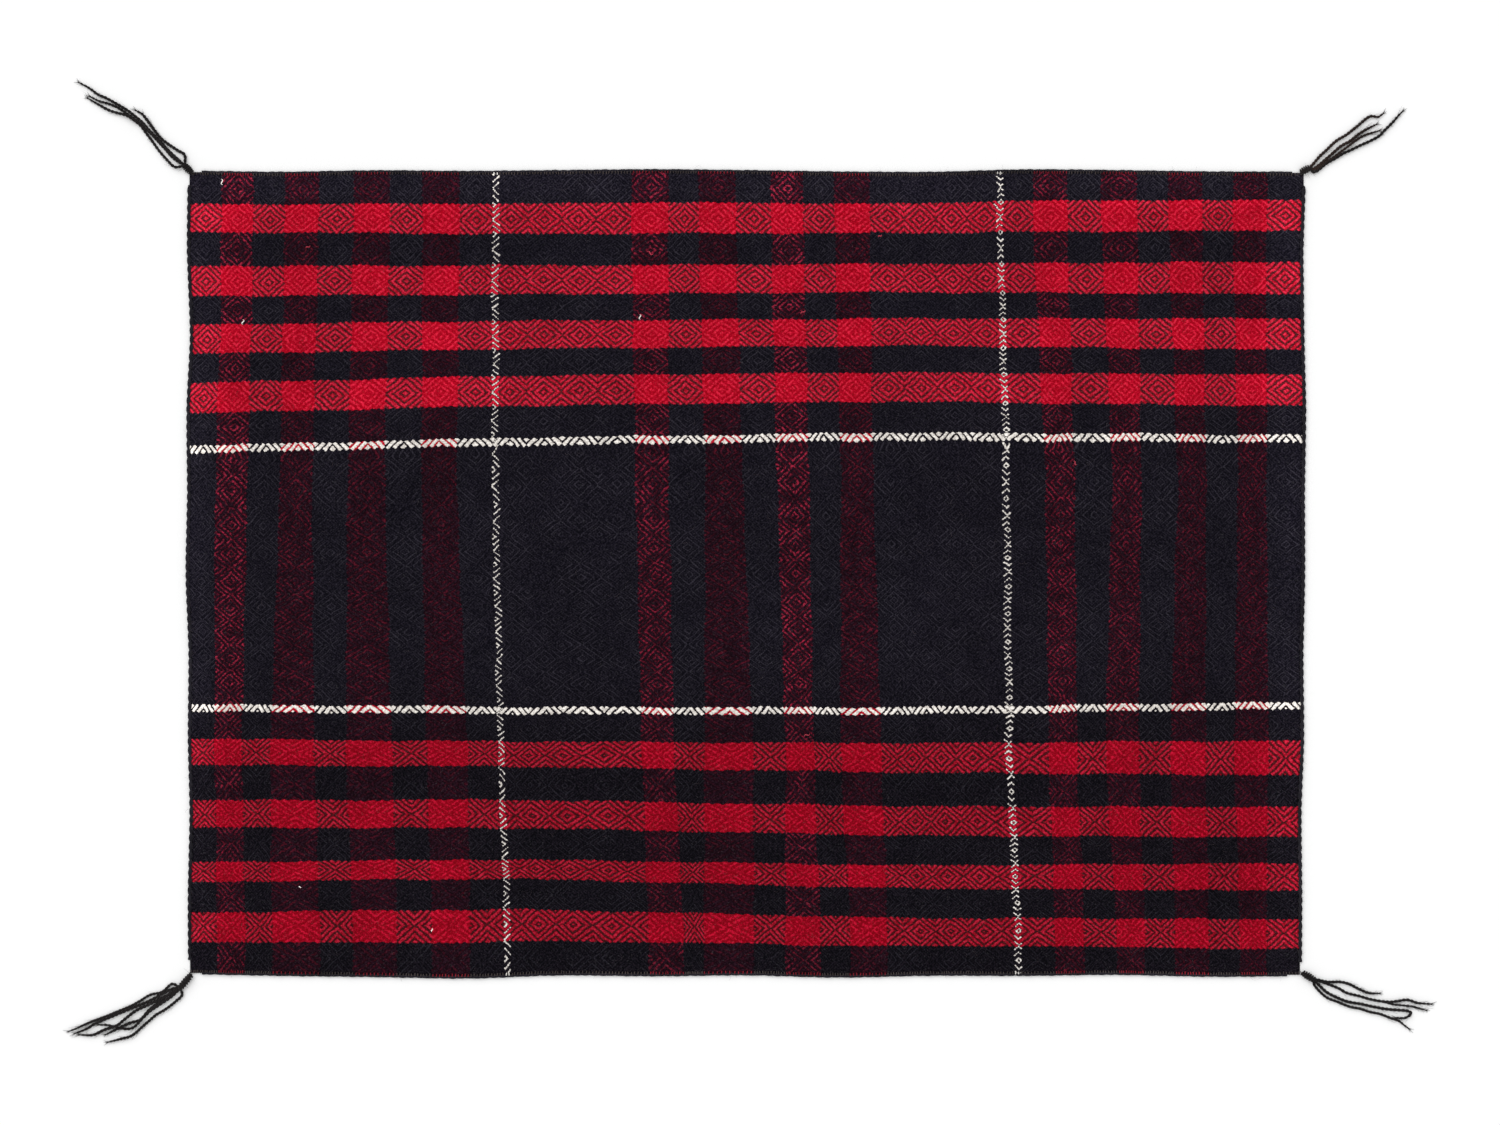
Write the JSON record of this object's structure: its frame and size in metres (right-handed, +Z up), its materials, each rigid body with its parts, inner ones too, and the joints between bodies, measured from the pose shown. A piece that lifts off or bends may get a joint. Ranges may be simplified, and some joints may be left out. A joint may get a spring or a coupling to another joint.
{
  "type": "navajo blanket",
  "caption": "Flat handwoven diamond-twill blanket, plaid in red, navy and white, with twined cords along its edges and a tassel at each corner.",
  "frame": {"origin": "middle of the cloth's flat underside, where it rests on the floor", "axes": "+X along the weft, the blanket's longer way; +Y along the warp; +Z up out of the cloth's upper face"},
  "size_m": [1.6318, 1.1555, 0.0072],
  "materials": {
    "web_wool": "matt handspun wool in diamond twill, red, navy and white",
    "cord_wool": "matt plied wool cord, blackish navy",
    "tassel_wool": "matt plied wool yarn, black with a brownish cast"
  },
  "bodies": {
    "root": {"blanket": "web_wool", "side_cord_left": "cord_wool", "side_cord_right": "cord_wool", "end_cord_bottom": "cord_wool", "end_cord_top": "cord_wool", "tassel_top_left": "tassel_wool", "tassel_top_right": "tassel_wool", "tassel_bottom_left": "tassel_wool", "tassel_bottom_right": "tassel_wool"}
  },
  "joints": []
}
